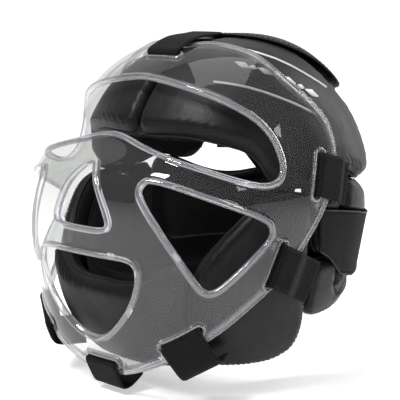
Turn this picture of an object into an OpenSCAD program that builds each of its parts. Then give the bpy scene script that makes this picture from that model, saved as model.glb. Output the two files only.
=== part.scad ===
// Padded head guard with a clear full-face mask held on by hook-and-loop straps.
// The guard faces -Y, the wearer's left is +X, and the origin is the centre of the wearer's head.
// Directions from the head centre are given as [round, up] in degrees: round is 0 at the face,
// 90 at the wearer's left ear and 180 at the back; up is the angle above the horizontal.

/* [Mask] */
// Half width of the clear mask at the temples
mask_half_w = 118; // [116:1:120]
// Wall thickness of the clear mask
mask_wall = 3; // [2.5:0.5:3.5]

/* [Padding] */
// Half width of the padded guard over the temples
pad_half_w = 113; // [111:1:113]
// Full thickness of the pads
pad_t = 23; // [18:1:24]
// Thickness of the synthetic leather and its backing
skin_t = 2; // [1.5:0.5:2.5]
// Thickness of the inner lining
lining_t = 1.6; // [1.2:0.2:2]

/* [Straps] */
// Width of the hook-and-loop straps
strap_w = 32; // [26:1:34]
// Thickness of the webbing
strap_t = 2; // [1.6:0.2:2.2]

/* [Hidden] */

leather = "#2c2c2a";
foam = "#5b5b58";
lining = "#1b1b1c";
webbing = "#202022";
clear = [0.80, 0.81, 0.80, 0.45];

// ---- directions and outer surfaces ----
function dir(a) = [sin(a[0])*cos(a[1]), -cos(a[0])*cos(a[1]), sin(a[1])];
function unit(v) = v/norm(v);
function ss(x) = let (t = min(1, max(0, x))) t*t*(3 - 2*t);
function sup(d, a, bf, br, hu, hd, n) =
  pow(pow(abs(d.x)/a, n) + pow(abs(d.y)/(d.y < 0 ? bf : br), n) + pow(abs(d.z)/(d.z > 0 ? hu : hd), n), -1/n);
// rounder behind the ears than at the face
function nn(d, f, b) = f + (b - f)*ss((d.y + 0.25)/0.75);
function bulge(d) = let (p = atan2(abs(d.x), -d.y), s = asin(d.z) - 10)
  1 + 0.188*exp(-pow(p/50, 3.2) - pow(abs(s)/(s > 0 ? 13.6 : 65.5), 2.5));
function r_mask(d) = sup(d, mask_half_w, 136, 136, 142, 163, 2.54)*bulge(d);
function r_pad(d) = sup(d, pad_half_w, 122, 109, 139, 132, nn(d, 2.45, 2.05));
function r_jaw(d) = sup(d, 110, 141, 97, 132, 130, 2.6);
function r_chin(d) = sup(d, 106, 152, 97, 132, 130, 2.6);
function r_rear(d) = sup(d, 109, 121, 97, 132, 104, nn(d, 2.5, 2.05));

// ---- a padded patch between two surfaces, inside a closed outline of directions ----
function turn(p, c) = let (n = len(p)) [for (i = [0:n-1]) cross(p[i] - c, p[(i+1) % n] - c)*c];
function total(v, i = 0) = i >= len(v) ? 0 : v[i] + total(v, i + 1);
function facing(p, c) = total(turn(p, c)) > 0 ? p : [for (i = [len(p)-1:-1:0]) p[i]];
module patch(o, c, ro, ri, k = 4, drop = 0, lift = 0) {
  cd = dir(c);
  e = facing([for (a = o) dir(a)], cd);
  n = len(e);
  d = concat([cd], [for (j = [1:k], i = [0:n-1]) unit(cd*(1 - j/k) + e[i]*j/k)]);
  t = concat([0], [for (j = [1:k], i = [0:n-1]) pow(j/k, 5)]);
  m = len(d);
  pts = concat([for (i = [0:m-1]) d[i]*(ro(d[i]) - drop*t[i])], [for (i = [0:m-1]) d[i]*(ri(d[i]) + lift*t[i])]);
  function at(j, i) = 1 + (j - 1)*n + i % n;
  top = concat([for (i = [0:n-1]) [0, at(1, i+1), at(1, i)]],
    [for (j = [1:k-1], i = [0:n-1]) [at(j, i), at(j, i+1), at(j+1, i)]],
    [for (j = [1:k-1], i = [0:n-1]) [at(j, i+1), at(j+1, i+1), at(j+1, i)]]);
  low = [for (f = top) [f[2] + m, f[1] + m, f[0] + m]];
  side = concat([for (i = [0:n-1]) [at(k, i), at(k, i+1), at(k, i) + m]],
    [for (i = [0:n-1]) [at(k, i+1), at(k, i+1) + m, at(k, i) + m]]);
  polyhedron(points = pts, faces = concat(top, low, side), convexity = 6);
}
// a band between a lower and an upper edge, each a table of [round, up]
module band(lo, hi, a, b, steps, ro, ri, rows = 3) {
  g = [for (i = [0:steps], j = [0:rows]) let (f = a + (b - a)*i/steps, l = lookup(f, lo), h = lookup(f, hi))
    dir([f, l + (h - l)*j/rows])];
  m = len(g); w = rows + 1;
  pts = concat([for (d = g) d*ro(d)], [for (d = g) d*ri(d)]);
  function v(i, j) = i*w + j;
  top = concat([for (i = [0:steps-1], j = [0:rows-1]) [v(i, j), v(i, j+1), v(i+1, j)]],
    [for (i = [0:steps-1], j = [0:rows-1]) [v(i, j+1), v(i+1, j+1), v(i+1, j)]]);
  low = [for (f = top) [f[2] + m, f[1] + m, f[0] + m]];
  function wall(p, q) = [[q, p + m, p], [q + m, p + m, q]];
  edge = concat([for (i = [0:steps-1]) each wall(v(i, 0), v(i+1, 0))],
    [for (i = [0:steps-1]) each wall(v(i+1, rows), v(i, rows))],
    [for (j = [0:rows-1]) each wall(v(0, j+1), v(0, j))],
    [for (j = [0:rows-1]) each wall(v(steps, j), v(steps, j+1))]);
  polyhedron(points = pts, faces = concat(top, low, edge), convexity = 6);
}
module right() { mirror([1, 0, 0]) children(); }

// ---- pad outlines, wearer's left ----
o_forehead = [[0.2, 34], [10, 34], [20, 34], [30, 33], [40, 31], [47, 29.5], [52, 26], [55, 21], [60, 17.8], [68, 17],
  [77, 17.5], [85, 20], [92, 22], [100, 21.5], [107, 18], [116, 18], [122, 24], [125, 34], [122, 43], [112, 50],
  [109, 57], [107, 64], [104, 71], [100, 78], [88, 83], [45, 85], [0.6, 84], [0.4, 76], [0.3, 66], [0.3, 55], [0.2, 44]];
c_forehead = [58, 50];
o_crown = [[14, 86], [-14, 86], [-64, 84.5], [-92, 82], [-103, 76], [-108, 69], [-112, 62], [-118, 54], [-128, 50],
  [-140, 48], [-155, 47], [-170, 47], [170, 47], [155, 47], [140, 48], [128, 50], [118, 54], [112, 62], [108, 69], [103, 76], [92, 82], [64, 84.5]];
c_crown = [180, 70];
o_flap = [[-58, 80], [-95, 69], [-112, 60], [-125, 52], [-140, 50], [-155, 49], [-170, 49], [170, 49], [155, 49], [140, 50], [125, 52],
  [112, 60], [95, 69], [58, 80], [25, 83], [0, 84], [-25, 83]];
c_flap = [180, 76];
o_jaw = [[45, 6], [50, 10.5], [56, 14], [66, 15], [74, 12.5], [74.5, 4], [73, -6], [72.5, -17], [73, -26], [74.5, -36], [73.5, -45],
  [67, -48], [58, -49], [47, -47], [38, -45], [30, -43], [28, -36], [27.5, -28], [28, -19], [31, -9], [38, -1]];
c_jaw = [53, -20];
o_chin = [[0, -13.5], [9, -13.5], [17, -15], [23, -19], [25.5, -26], [25.5, -34], [24, -40], [14, -42.5], [0, -43.5],
  [-14, -42.5], [-24, -40], [-25.5, -34], [-25.5, -26], [-23, -19], [-17, -15], [-9, -13.5]];
c_chin = [0, -28];
o_ear = [[79, 11], [80, 14.5], [84, 16], [89, 17], [91.5, 13], [91.5, 6], [91, -2], [90, -10], [84, -10.5], [79, -10], [77.5, -4], [77.5, 4]];
c_ear = [84.5, 3];
o_rear = [[93.5, 15], [98, 18.5], [106, 16.5], [112, 13.5], [120, 11.5], [130, 11], [140, 11.5], [150, 14], [160, 16], [170, 16.5], [174, 12],
  [174, 0], [174, -12], [172, -22], [162, -24], [148, -24.5], [134, -24.5], [120, -24.5], [106, -24.5], [94, -24], [93, -12], [93, 2]];
c_rear = [133, -5];
o_nape = [[76, -13], [83, -12.5], [90, -12.5], [92, -20], [93, -26.5], [104, -27], [116, -27], [128, -27], [130, -33], [126, -38.5],
  [112, -40], [98, -40], [88, -40], [79, -38], [76, -32], [75, -22]];
c_nape = [90, -31];

module skin(o, c, r) { patch(o, c, function (d) r(d), function (d) r(d) - skin_t, 4); }
module core(o, c, r) { patch(o, c, function (d) r(d) - skin_t - 0.2, function (d) r(d) - pad_t + lining_t + 0.2, 4); }

module forehead_cover_left() { color(leather) translate([0.4, 0, 0]) skin(o_forehead, c_forehead, function (d) r_pad(d)); }
module forehead_cover_right() { right() forehead_cover_left(); }
module forehead_foam_left() { color(foam) translate([0.4, 0, 0]) core(o_forehead, c_forehead, function (d) r_pad(d)); }
module forehead_foam_right() { right() forehead_foam_left(); }
module crown_cover() { color(leather) translate([0, 3, 0]) skin(o_crown, c_crown, function (d) r_pad(d) - 1); }
module crown_foam() { color(foam) translate([0, 3, 0]) core(o_crown, c_crown, function (d) r_pad(d) - 1); }
module crown_flap() { color(leather) translate([0, 3, 0]) patch(o_flap, c_flap, function (d) r_pad(d) + 4.4, function (d) r_pad(d) + 1.7, 5); }
back_lo = [[127, 24], [150, 23], [180, 22], [210, 23], [233, 24]];
back_hi = [[127, 42], [135, 44], [150, 45], [180, 45], [210, 45], [225, 44], [233, 42]];
module back_cover() { color(leather) band(back_lo, back_hi, 127.5, 232.5, 14, function (d) r_pad(d), function (d) r_pad(d) - skin_t); }
module back_foam() { color(foam) band(back_lo, back_hi, 127.5, 232.5, 14, function (d) r_pad(d) - skin_t - 0.2, function (d) r_pad(d) - pad_t + lining_t + 0.2); }
module ear_pad_left() { color(leather) patch(o_ear, c_ear, function (d) r_rear(d) + 1, function (d) r_rear(d) - 20, 3); }
module ear_pad_right() { right() ear_pad_left(); }
module rear_pad_left() { color(leather) patch(o_rear, c_rear, function (d) r_rear(d), function (d) r_rear(d) - 21, 4); }
module rear_pad_right() { right() rear_pad_left(); }
module nape_pad_left() { color(leather) patch(o_nape, c_nape, function (d) r_rear(d) + 1, function (d) r_rear(d) - 18, 4); }
module nape_pad_right() { right() nape_pad_left(); }
module jaw_cover_left() { color(leather) skin(o_jaw, c_jaw, function (d) r_jaw(d)); }
module jaw_cover_right() { right() jaw_cover_left(); }
module jaw_foam_left() { color(foam) core(o_jaw, c_jaw, function (d) r_jaw(d)); }
module jaw_foam_right() { right() jaw_foam_left(); }
module chin_cover() { color(leather) skin(o_chin, c_chin, function (d) r_chin(d)); }
module chin_foam() { color(foam) core(o_chin, c_chin, function (d) r_chin(d)); }

// ---- linings, inside the foam ----
band_lo = [[0, 36], [30, 35], [47, 32], [56, 22], [68, 19], [80, 20], [92, 24], [106, 21], [118, 26], [180, 26], [242, 26], [254, 21], [268, 24], [280, 20], [292, 19], [304, 22], [313, 32], [330, 35], [360, 36]];
band_hi = [[0, 52], [100, 52], [119, 44], [128, 43], [232, 43], [241, 44], [260, 52], [360, 52]];
module sweatband() { color(lining) for (s = [[1, 119], [128, 232], [241, 359]])
  band(band_lo, band_hi, s[0], s[1], 18, function (d) r_pad(d) - pad_t + lining_t - 1, function (d) r_pad(d) - pad_t - 1, 2); }
module crown_lining() { color(lining) translate([0, 3, 0]) patch(o_crown, c_crown, function (d) r_pad(d) - 1 - pad_t + lining_t, function (d) r_pad(d) - 1 - pad_t, 4); }
module cheek_lining_left() { color(lining) patch(o_jaw, c_jaw, function (d) r_jaw(d) - pad_t + lining_t, function (d) r_jaw(d) - pad_t, 4); }
module cheek_lining_right() { right() cheek_lining_left(); }

// ---- rear closure: a wide strap round the back with a hook-and-loop end ----
rs_lo = [[76, -7], [83, -11], [92, -19], [104, -22], [120, -22], [284, -22]];
rs_hi = [[76, 8], [88, 6.5], [98, 5], [115, 2], [130, 1], [284, 1]];
tab_a = 203;
module rear_strap() { color(webbing) band(rs_lo, rs_hi, 77, tab_a - 0.4, 22, function (d) r_rear(d) + 6.2, function (d) r_rear(d) + 4, 1); }
module rear_strap_right() { color(webbing) right() band(rs_lo, rs_hi, 77, 112, 7, function (d) r_rear(d) + 6.2, function (d) r_rear(d) + 4, 1); }
module rear_tab() { color(webbing) band(rs_lo, rs_hi, tab_a, 244, 9, function (d) r_rear(d) + 6.2, function (d) r_rear(d) + 4.4, 1); }
module rear_loop_patch() { color(webbing) band([[200, -20], [250, -20]], [[200, -1], [250, -1]], 206, 243, 8, function (d) r_rear(d) + 3.1, function (d) r_rear(d) + 2.2, 1); }

// ---- the clear mask ----
o_mask = [[0, 64.5], [12, 65.5], [25, 67], [37, 65.5], [47, 63.5], [55, 60.5], [61, 56], [66, 51], [72, 46.5], [77.5, 42.5], [81.5, 38.5],
  [84, 32.5], [84, 27.5], [82.7, 22.5], [80.5, 17], [78.2, 12.2], [74.8, 7], [71, 2], [66.5, -3], [62, -8], [57.5, -11.8], [52.5, -15], [47, -18.3],
  [41.5, -21.8], [35, -25.3], [30, -28], [25, -30.3], [20, -32.3], [14, -34.8], [7, -37], [0, -37.8]];
o_mask_all = concat(o_mask, [for (i = [len(o_mask)-2:-1:1]) [-o_mask[i][0], o_mask[i][1]]]);
c_mask = [0, 12];
o_eye = [[0, 47.7], [9, 46.7], [17, 45.2], [26, 43], [34.5, 40.8], [46, 36.8], [51, 34], [55, 30], [57, 25.5], [57.6, 21.5], [56.3, 18.6], [53.5, 17.2],
  [49.5, 16.9], [43, 18], [36.7, 19.6], [27, 22], [15, 26], [7, 29], [0, 30.3]];
o_nose = [[0, 19.8], [2.2, 17.5], [9.3, 5], [8.6, 3.2], [0, 3]];
o_mouth = [[0, -4.6], [8, -4.5], [15.5, -4.6], [17.6, -6], [17.6, -9.5], [16, -14], [13, -18.5], [9, -22.5], [4.5, -25.5], [0, -26.5]];
o_cheek = [[21.5, 15.6], [46, 8.2], [52.2, 5.4], [53.2, 3.2], [52.3, 0.6], [43, -7.4], [38, -11.3], [35.7, -11.5], [34, -9.6], [28, -0.4], [19.8, 11.2], [19.4, 14]];
function both(o) = concat(o, [for (i = [len(o)-2:-1:1]) [-o[i][0], o[i][1]]]);
module through(o, c) { patch(o, c, function (d) r_mask(d) + 12, function (d) r_mask(d) - 14, 3); }

// strap places: slot centre and rim centre as directions, how far the pad lies under the mask's outer face at the strap's end,
// the free length of the tab, its slope over the rim, and the slot's distance from the rim
places = [
  [[0, 57.5], [0, 64.6]],
  [[71.5, 20.2], [81.3, 18.0]],
  [[53.5, -6.2], [60.3, -10.0]],
  [[28.0, -22.6], [31.0, -27.8]],
  [[0, -31.8], [0, -38.2]]];
function p_mask(a) = dir(a)*r_mask(dir(a));
function normal(a) = unit(cross(p_mask([a[0] + 0.5, a[1]]) - p_mask([a[0] - 0.5, a[1]]), p_mask([a[0], a[1] + 0.5]) - p_mask([a[0], a[1] - 0.5])));
function frame_of(i) = let (p = p_mask(places[i][1]), q = p_mask(places[i][0]), n = normal(places[i][1]),
  l = unit(cross(p - q, n)), s = cross(n, l)) [[s.x, n.x, l.x, p.x], [s.y, n.y, l.y, p.y], [s.z, n.z, l.z, p.z], [0, 0, 0, 1]];
module at_strap(i) { multmatrix(frame_of(i)) children(); }
// strap profiles lie in the plane of s (outwards past the rim) and n (away from the face)
slot_s = [-15, -17, -13, -12, -13];
module across(w) { translate([0, 0, -w/2]) linear_extrude(w) children(); }
// height of the mask's outer face at the slot, along n
function fall(i) = let (f = frame_of(i), p = p_mask(places[i][1]), q = p_mask(places[i][0])) (q - p)*[f[0][1], f[1][1], f[2][1]];
leg = [3.9, 3.7, 3.9, 6.2, 3.9];
module loop_of(i) { s = slot_s[i]; q = fall(i); w = leg[i]; at_strap(i) across(strap_w)
  polygon([[1, 4.2], [s - strap_t, q + 4.2], [s - strap_t, q - w - 1.3], [0, -w - 1.3], [0, -w], [s, q - w], [s, q + 4.2 - strap_t], [1, 4.2 - strap_t]]); }
module slot_of(i) { s = slot_s[i]; at_strap(i) translate([s - strap_t/2, 0, 0]) cube([strap_t + 3, 24, strap_w + 3], center = true); }

module face_mask() { color(clear) difference() {
  patch(o_mask_all, c_mask, function (d) r_mask(d), function (d) r_mask(d) - mask_wall, 10);
  through(both(o_eye), [0, 34]);
  through(both(o_nose), [0, 9]);
  through(both(o_mouth), [0, -13]);
  through(o_cheek, [36, 3]);
  right() through(o_cheek, [36, 3]);
  for (i = [0, 4]) slot_of(i);
  for (i = [1:3]) { slot_of(i); right() slot_of(i); } } }

// tab profiles: [s, n] of the middle line past the rim, one list for each place
tab_line = [
  [[1.75, 3.2], [7, 3], [15, 1.4], [24, -1.2], [34, -3.6]],
  [[1.75, 3.2], [5, 2.2], [10, -0.6], [14, -2], [21, -2.2]],
  [[1.75, 3.2], [6, 1.4], [12, -3.2], [18, -6.2], [31, -6.9]],
  [[1.75, 3.2], [8, 3.8], [16, 3], [21, -1], [26, -11], [32, -20.5], [42, -25]],
  [[1.75, 3.2], [6, 4], [11, 2.5], [14, -3], [14.5, -11], [13, -19]]];
// loop-pile patches sewn on the pads under the tabs: [start, end, height] in s and n
patch_line = [[14, 27, -5.4], [9, 20, -4.6], [17, 30, -8.8]];
function left_of(l, w) = [for (i = [0:len(l)-1]) let (a = l[max(0, i-1)], b = l[min(len(l)-1, i+1)], t = unit(b - a)) l[i] + w*[-t.y, t.x]];
module tab_of(i) { l = tab_line[i]; h = strap_t/2; at_strap(i) across(strap_w)
  polygon(concat(left_of(l, h), [for (k = [len(l)-1:-1:0]) left_of(l, -h)[k]])); }
module forehead_loop() { color(webbing) loop_of(0); }
module temple_loop_left() { color(webbing) loop_of(1); }
module temple_loop_right() { right() temple_loop_left(); }
module cheek_loop_left() { color(webbing) loop_of(2); }
module cheek_loop_right() { right() cheek_loop_left(); }
module jaw_loop_left() { color(webbing) loop_of(3); }
module jaw_loop_right() { right() jaw_loop_left(); }
module chin_loop() { color(webbing) loop_of(4); }
module forehead_tab() { color(webbing) tab_of(0); }
module temple_tab_left() { color(webbing) tab_of(1); }
module temple_tab_right() { right() temple_tab_left(); }
module cheek_tab_left() { color(webbing) tab_of(2); }
module cheek_tab_right() { right() cheek_tab_left(); }
module jaw_tab_left() { color(webbing) tab_of(3); }
module jaw_tab_right() { right() jaw_tab_left(); }
module chin_tab() { color(webbing) tab_of(4); }
module pile(i) { p = patch_line[i]; at_strap(i) translate([(p[0] + p[1])/2, p[2], 0]) cube([p[1] - p[0], 1, strap_w - 8], center = true); }
module loop_patches() { color(webbing) { pile(0); for (i = [1:2]) { pile(i); right() pile(i); } } }

forehead_cover_left();
forehead_cover_right();
forehead_foam_left();
forehead_foam_right();
crown_cover();
crown_foam();
crown_flap();
back_cover();
back_foam();
ear_pad_left();
ear_pad_right();
rear_pad_left();
rear_pad_right();
nape_pad_left();
nape_pad_right();
jaw_cover_left();
jaw_cover_right();
jaw_foam_left();
jaw_foam_right();
chin_cover();
chin_foam();
sweatband();
crown_lining();
cheek_lining_left();
cheek_lining_right();
rear_strap();
rear_strap_right();
rear_tab();
rear_loop_patch();
face_mask();
forehead_loop();
temple_loop_left();
temple_loop_right();
cheek_loop_left();
cheek_loop_right();
jaw_loop_left();
jaw_loop_right();
chin_loop();
forehead_tab();
temple_tab_left();
temple_tab_right();
cheek_tab_left();
cheek_tab_right();
jaw_tab_left();
jaw_tab_right();
chin_tab();
loop_patches();
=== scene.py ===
import bpy, bmesh, math
import numpy as np
from mathutils import Vector, Matrix, noise
from mathutils.geometry import delaunay_2d_cdt


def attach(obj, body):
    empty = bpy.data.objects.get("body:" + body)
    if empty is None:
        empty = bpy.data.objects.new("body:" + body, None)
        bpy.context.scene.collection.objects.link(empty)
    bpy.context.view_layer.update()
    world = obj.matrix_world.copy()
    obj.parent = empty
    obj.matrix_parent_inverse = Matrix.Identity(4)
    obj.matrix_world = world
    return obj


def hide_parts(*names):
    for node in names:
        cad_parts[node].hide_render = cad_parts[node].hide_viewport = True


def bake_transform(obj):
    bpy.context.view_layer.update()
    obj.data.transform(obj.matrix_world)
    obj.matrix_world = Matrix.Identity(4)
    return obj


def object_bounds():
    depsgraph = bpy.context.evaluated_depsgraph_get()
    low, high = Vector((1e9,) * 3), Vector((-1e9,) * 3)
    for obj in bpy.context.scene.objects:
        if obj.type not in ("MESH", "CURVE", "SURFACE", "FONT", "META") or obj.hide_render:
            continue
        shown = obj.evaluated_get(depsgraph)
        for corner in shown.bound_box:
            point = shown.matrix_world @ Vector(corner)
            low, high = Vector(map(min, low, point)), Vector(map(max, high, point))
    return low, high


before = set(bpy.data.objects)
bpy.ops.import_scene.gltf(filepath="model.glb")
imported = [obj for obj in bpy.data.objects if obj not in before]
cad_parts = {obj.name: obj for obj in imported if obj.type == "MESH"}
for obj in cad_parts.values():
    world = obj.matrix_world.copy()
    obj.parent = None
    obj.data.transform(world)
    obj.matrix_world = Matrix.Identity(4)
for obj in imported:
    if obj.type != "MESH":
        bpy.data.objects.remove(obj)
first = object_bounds()

# ------------------------------------------------------------------ camera
A, EL = math.radians(43.917), math.radians(9.083)
cdir = np.array([math.cos(EL)*math.sin(A), -math.cos(EL)*math.cos(A), math.sin(EL)])
rdir = np.array([math.cos(A), math.sin(A), 0.0])
udir = np.array([-math.sin(A)*math.sin(EL), math.cos(A)*math.sin(EL), math.cos(EL)])
DIST = 1.00375
cam_data = bpy.data.cameras.new("camera"); cam_data.lens = 112.5; cam_data.sensor_width = 36
cam = bpy.data.objects.new("camera", cam_data); bpy.context.collection.objects.link(cam)
pos = cdir*DIST - ((233.026-200)/1250*DIST)*rdir + ((209.986-200)/1250*DIST)*udir
M = Matrix.Identity(4)
for i in range(3):
    M[i][0], M[i][1], M[i][2], M[i][3] = rdir[i], udir[i], cdir[i], pos[i]
cam.matrix_world = M
bpy.context.scene.camera = cam
bpy.context.scene.view_settings.view_transform = "Standard"
bpy.context.scene.view_settings.look = "None"

# ------------------------------------------------------------------ surfaces, mm
def D(a):
    a = np.radians(np.asarray(a, float))
    return np.stack([np.sin(a[..., 0])*np.cos(a[..., 1]), -np.cos(a[..., 0])*np.cos(a[..., 1]), np.sin(a[..., 1])], -1)
def U(v): v = np.asarray(v, float); return v/np.linalg.norm(v, axis=-1, keepdims=True)
def ss(x): t = np.clip(x, 0, 1); return t*t*(3-2*t)
def sup(d, a, bf, br, hu, hd, n):
    x, y, z = d[..., 0], d[..., 1], d[..., 2]
    return (np.abs(x/a)**n + np.abs(y/np.where(y < 0, bf, br))**n + np.abs(z/np.where(z > 0, hu, hd))**n)**(-1/n)
def nn(d, f, b): return f+(b-f)*ss((d[..., 1]+0.25)/0.75)
def bulge(d):
    p = np.degrees(np.arctan2(np.abs(d[..., 0]), -d[..., 1])); s = np.degrees(np.arcsin(np.clip(d[..., 2], -1, 1)))-10
    return 1+0.188*np.exp(-(p/50)**3.2-(np.abs(s)/np.where(s > 0, 13.6, 65.5))**2.5)
def r_mask(d): return sup(d, 118, 136, 136, 142, 163, 2.54)*bulge(d)
def r_pad(d): return sup(d, 113, 122, 109, 139, 132, nn(d, 2.45, 2.05))
def r_jaw(d): return sup(d, 110, 141, 97, 132, 130, 2.6)
def r_chin(d): return sup(d, 106, 152, 97, 132, 130, 2.6)
def r_rear(d): return sup(d, 109, 121, 97, 132, 104, nn(d, 2.5, 2.05))
PT, LT = 23.0, 1.6

def nz(P, scale, seed=0.0):
    return np.array([noise.noise(Vector((p[0]*scale+seed, p[1]*scale-seed, p[2]*scale+2*seed))) for p in P])
def sag(P):
    "small dents of soft leather over foam, mm, never outwards"
    return -0.45 + 0.33*nz(P, 1/23.0, 3.1) + 0.12*nz(P, 1/7.0, 9.7)

# ------------------------------------------------------------------ materials
def mat(name):
    m = bpy.data.materials.new(name); m.use_nodes = True
    nt = m.node_tree; nt.nodes.clear()
    return m, nt, nt.nodes.new("ShaderNodeOutputMaterial")
def N(nt, kind, **kw):
    n = nt.nodes.new(kind)
    for k, v in kw.items():
        if k in n.inputs: n.inputs[k].default_value = v
        else: setattr(n, k, v)
    return n
def ramp(nt, fac, c0, c1, p0=0.3, p1=0.7):
    r = nt.nodes.new("ShaderNodeValToRGB"); e = r.color_ramp.elements
    e[0].position, e[0].color, e[1].position, e[1].color = p0, (*c0, 1), p1, (*c1, 1)
    nt.links.new(fac, r.inputs[0]); return r.outputs[0]
def rng(nt, fac, lo, hi):
    r = nt.nodes.new("ShaderNodeMapRange"); r.inputs["To Min"].default_value = lo; r.inputs["To Max"].default_value = hi
    nt.links.new(fac, r.inputs["Value"]); return r.outputs[0]

def leather(name, c0, c1, r0=0.34, r1=0.56, grain=0.16):
    m, nt, out = mat(name)
    tc = N(nt, "ShaderNodeTexCoord").outputs["Object"]
    p = N(nt, "ShaderNodeBsdfPrincipled")
    big = N(nt, "ShaderNodeTexNoise", Scale=38.0, Detail=5.0); nt.links.new(tc, big.inputs["Vector"])
    fine = N(nt, "ShaderNodeTexNoise", Scale=420.0, Detail=4.0); nt.links.new(tc, fine.inputs["Vector"])
    cell = N(nt, "ShaderNodeTexVoronoi", Scale=850.0); nt.links.new(tc, cell.inputs["Vector"])
    nt.links.new(ramp(nt, big.outputs["Fac"], c0, c1), p.inputs["Base Color"])
    nt.links.new(rng(nt, fine.outputs["Fac"], r0, r1), p.inputs["Roughness"])
    p.inputs["Specular IOR Level"].default_value = 0.2
    b1 = N(nt, "ShaderNodeBump", Strength=grain, Distance=0.0004); nt.links.new(cell.outputs["Distance"], b1.inputs["Height"])
    b2 = N(nt, "ShaderNodeBump", Strength=0.35, Distance=0.0012)
    wr = N(nt, "ShaderNodeTexNoise", Scale=95.0, Detail=6.0); nt.links.new(tc, wr.inputs["Vector"])
    nt.links.new(wr.outputs["Fac"], b2.inputs["Height"]); nt.links.new(b1.outputs[0], b2.inputs["Normal"])
    nt.links.new(b2.outputs[0], p.inputs["Normal"]); nt.links.new(p.outputs[0], out.inputs[0])
    return m

def weave(name, c0, c1, pitch, rough=0.85, bump=0.7, uv=True):
    m, nt, out = mat(name)
    tc = N(nt, "ShaderNodeTexCoord").outputs["UV" if uv else "Object"]
    p = N(nt, "ShaderNodeBsdfPrincipled", Roughness=rough)
    h = []
    for ax in ("X", "Y"):
        w = N(nt, "ShaderNodeTexWave", Scale=0.314/pitch, Distortion=0.25); w.bands_direction = ax
        w.inputs["Detail"].default_value = 1.0
        nt.links.new(tc, w.inputs["Vector"]); h.append(w.outputs["Fac"])
    mul = N(nt, "ShaderNodeMath", operation="MULTIPLY"); nt.links.new(h[0], mul.inputs[0]); nt.links.new(h[1], mul.inputs[1])
    nzt = N(nt, "ShaderNodeTexNoise", Scale=260.0, Detail=3.0); nt.links.new(tc, nzt.inputs["Vector"])
    add = N(nt, "ShaderNodeMath", operation="MULTIPLY_ADD"); add.inputs[1].default_value = 0.05
    nt.links.new(nzt.outputs["Fac"], add.inputs[0]); nt.links.new(mul.outputs[0], add.inputs[2])
    nt.links.new(ramp(nt, add.outputs[0], c0, c1, 0.15, 1.0), p.inputs["Base Color"])
    b = N(nt, "ShaderNodeBump", Strength=bump, Distance=0.0005); nt.links.new(add.outputs[0], b.inputs["Height"])
    p.inputs["Sheen Weight"].default_value = 0.02; p.inputs["Specular IOR Level"].default_value = 0.18
    p.inputs["Sheen Roughness"].default_value = 0.6
    nt.links.new(b.outputs[0], p.inputs["Normal"]); nt.links.new(p.outputs[0], out.inputs[0])
    return m

def plastic(name, tint, haze, haze_col, rough, spec=1.0, bend=False):
    "clear moulded sheet: tinted see-through, a little haze, Fresnel shine"
    m, nt, out = mat(name)
    tc = N(nt, "ShaderNodeTexCoord").outputs["Object"]
    tr = N(nt, "ShaderNodeBsdfTransparent"); tr.inputs["Color"].default_value = (*tint, 1)
    if bend:   # the thick rims bend what is seen through them
        rf = N(nt, "ShaderNodeBsdfRefraction", Roughness=0.04, IOR=1.42); rf.inputs["Color"].default_value = (0.97, 0.97, 1.0, 1)
        mx = N(nt, "ShaderNodeMixShader"); mx.inputs[0].default_value = 0.6
        nt.links.new(tr.outputs[0], mx.inputs[1]); nt.links.new(rf.outputs[0], mx.inputs[2]); tr = mx
    df = N(nt, "ShaderNodeBsdfDiffuse"); df.inputs["Color"].default_value = (*haze_col, 1)
    gl = N(nt, "ShaderNodeBsdfGlossy", Roughness=rough); gl.inputs["Color"].default_value = (spec, spec, spec, 1)
    w = N(nt, "ShaderNodeTexNoise", Scale=26.0, Detail=2.0); nt.links.new(tc, w.inputs["Vector"])
    b = N(nt, "ShaderNodeBump", Strength=0.12, Distance=0.002); nt.links.new(w.outputs["Fac"], b.inputs["Height"])
    nt.links.new(b.outputs[0], gl.inputs["Normal"])
    a = N(nt, "ShaderNodeMixShader"); a.inputs[0].default_value = haze
    nt.links.new(tr.outputs[0], a.inputs[1]); nt.links.new(df.outputs[0], a.inputs[2])
    fr = N(nt, "ShaderNodeFresnel", IOR=1.62)
    geo = N(nt, "ShaderNodeNewGeometry"); inv = N(nt, "ShaderNodeMath", operation="SUBTRACT"); inv.inputs[0].default_value = 1.0
    nt.links.new(geo.outputs["Backfacing"], inv.inputs[1])   # only the outer side of each wall shines
    fac = N(nt, "ShaderNodeMath", operation="MULTIPLY"); nt.links.new(fr.outputs[0], fac.inputs[0]); nt.links.new(inv.outputs[0], fac.inputs[1])
    c = N(nt, "ShaderNodeMixShader"); nt.links.new(fac.outputs[0], c.inputs[0])
    nt.links.new(a.outputs[0], c.inputs[1]); nt.links.new(gl.outputs[0], c.inputs[2])
    nt.links.new(c.outputs[0], out.inputs[0])
    return m

LEATHER = leather("leather_black", (0.0035, 0.0035, 0.0033), (0.010, 0.010, 0.0092), 0.36, 0.54)
LEATHER2 = leather("leather_flap", (0.004, 0.004, 0.0038), (0.011, 0.011, 0.010), 0.40, 0.58, 0.35)
WELT = leather("leather_welt", (0.008, 0.008, 0.008), (0.016, 0.016, 0.015), 0.45, 0.6, 0.2)
WEB = weave("webbing_black", (0.0015, 0.0015, 0.0017), (0.0085, 0.0085, 0.009), 0.0015)
LINING = weave("lining_black", (0.003, 0.003, 0.003), (0.009, 0.009, 0.009), 0.0009, 0.95, 0.5, False)
PILE = weave("loop_pile", (0.006, 0.006, 0.007), (0.03, 0.03, 0.032), 0.0011, 0.98, 1.0, False)
THREAD = weave("thread_dark", (0.008, 0.008, 0.008), (0.03, 0.03, 0.03), 0.0006, 0.7, 0.3, False)
PIPING = leather("piping_grey", (0.20, 0.20, 0.20), (0.34, 0.34, 0.33), 0.35, 0.5, 0.1)
PRINT = leather("print_pale", (0.62, 0.62, 0.60), (0.80, 0.80, 0.78), 0.45, 0.6, 0.15)
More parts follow.
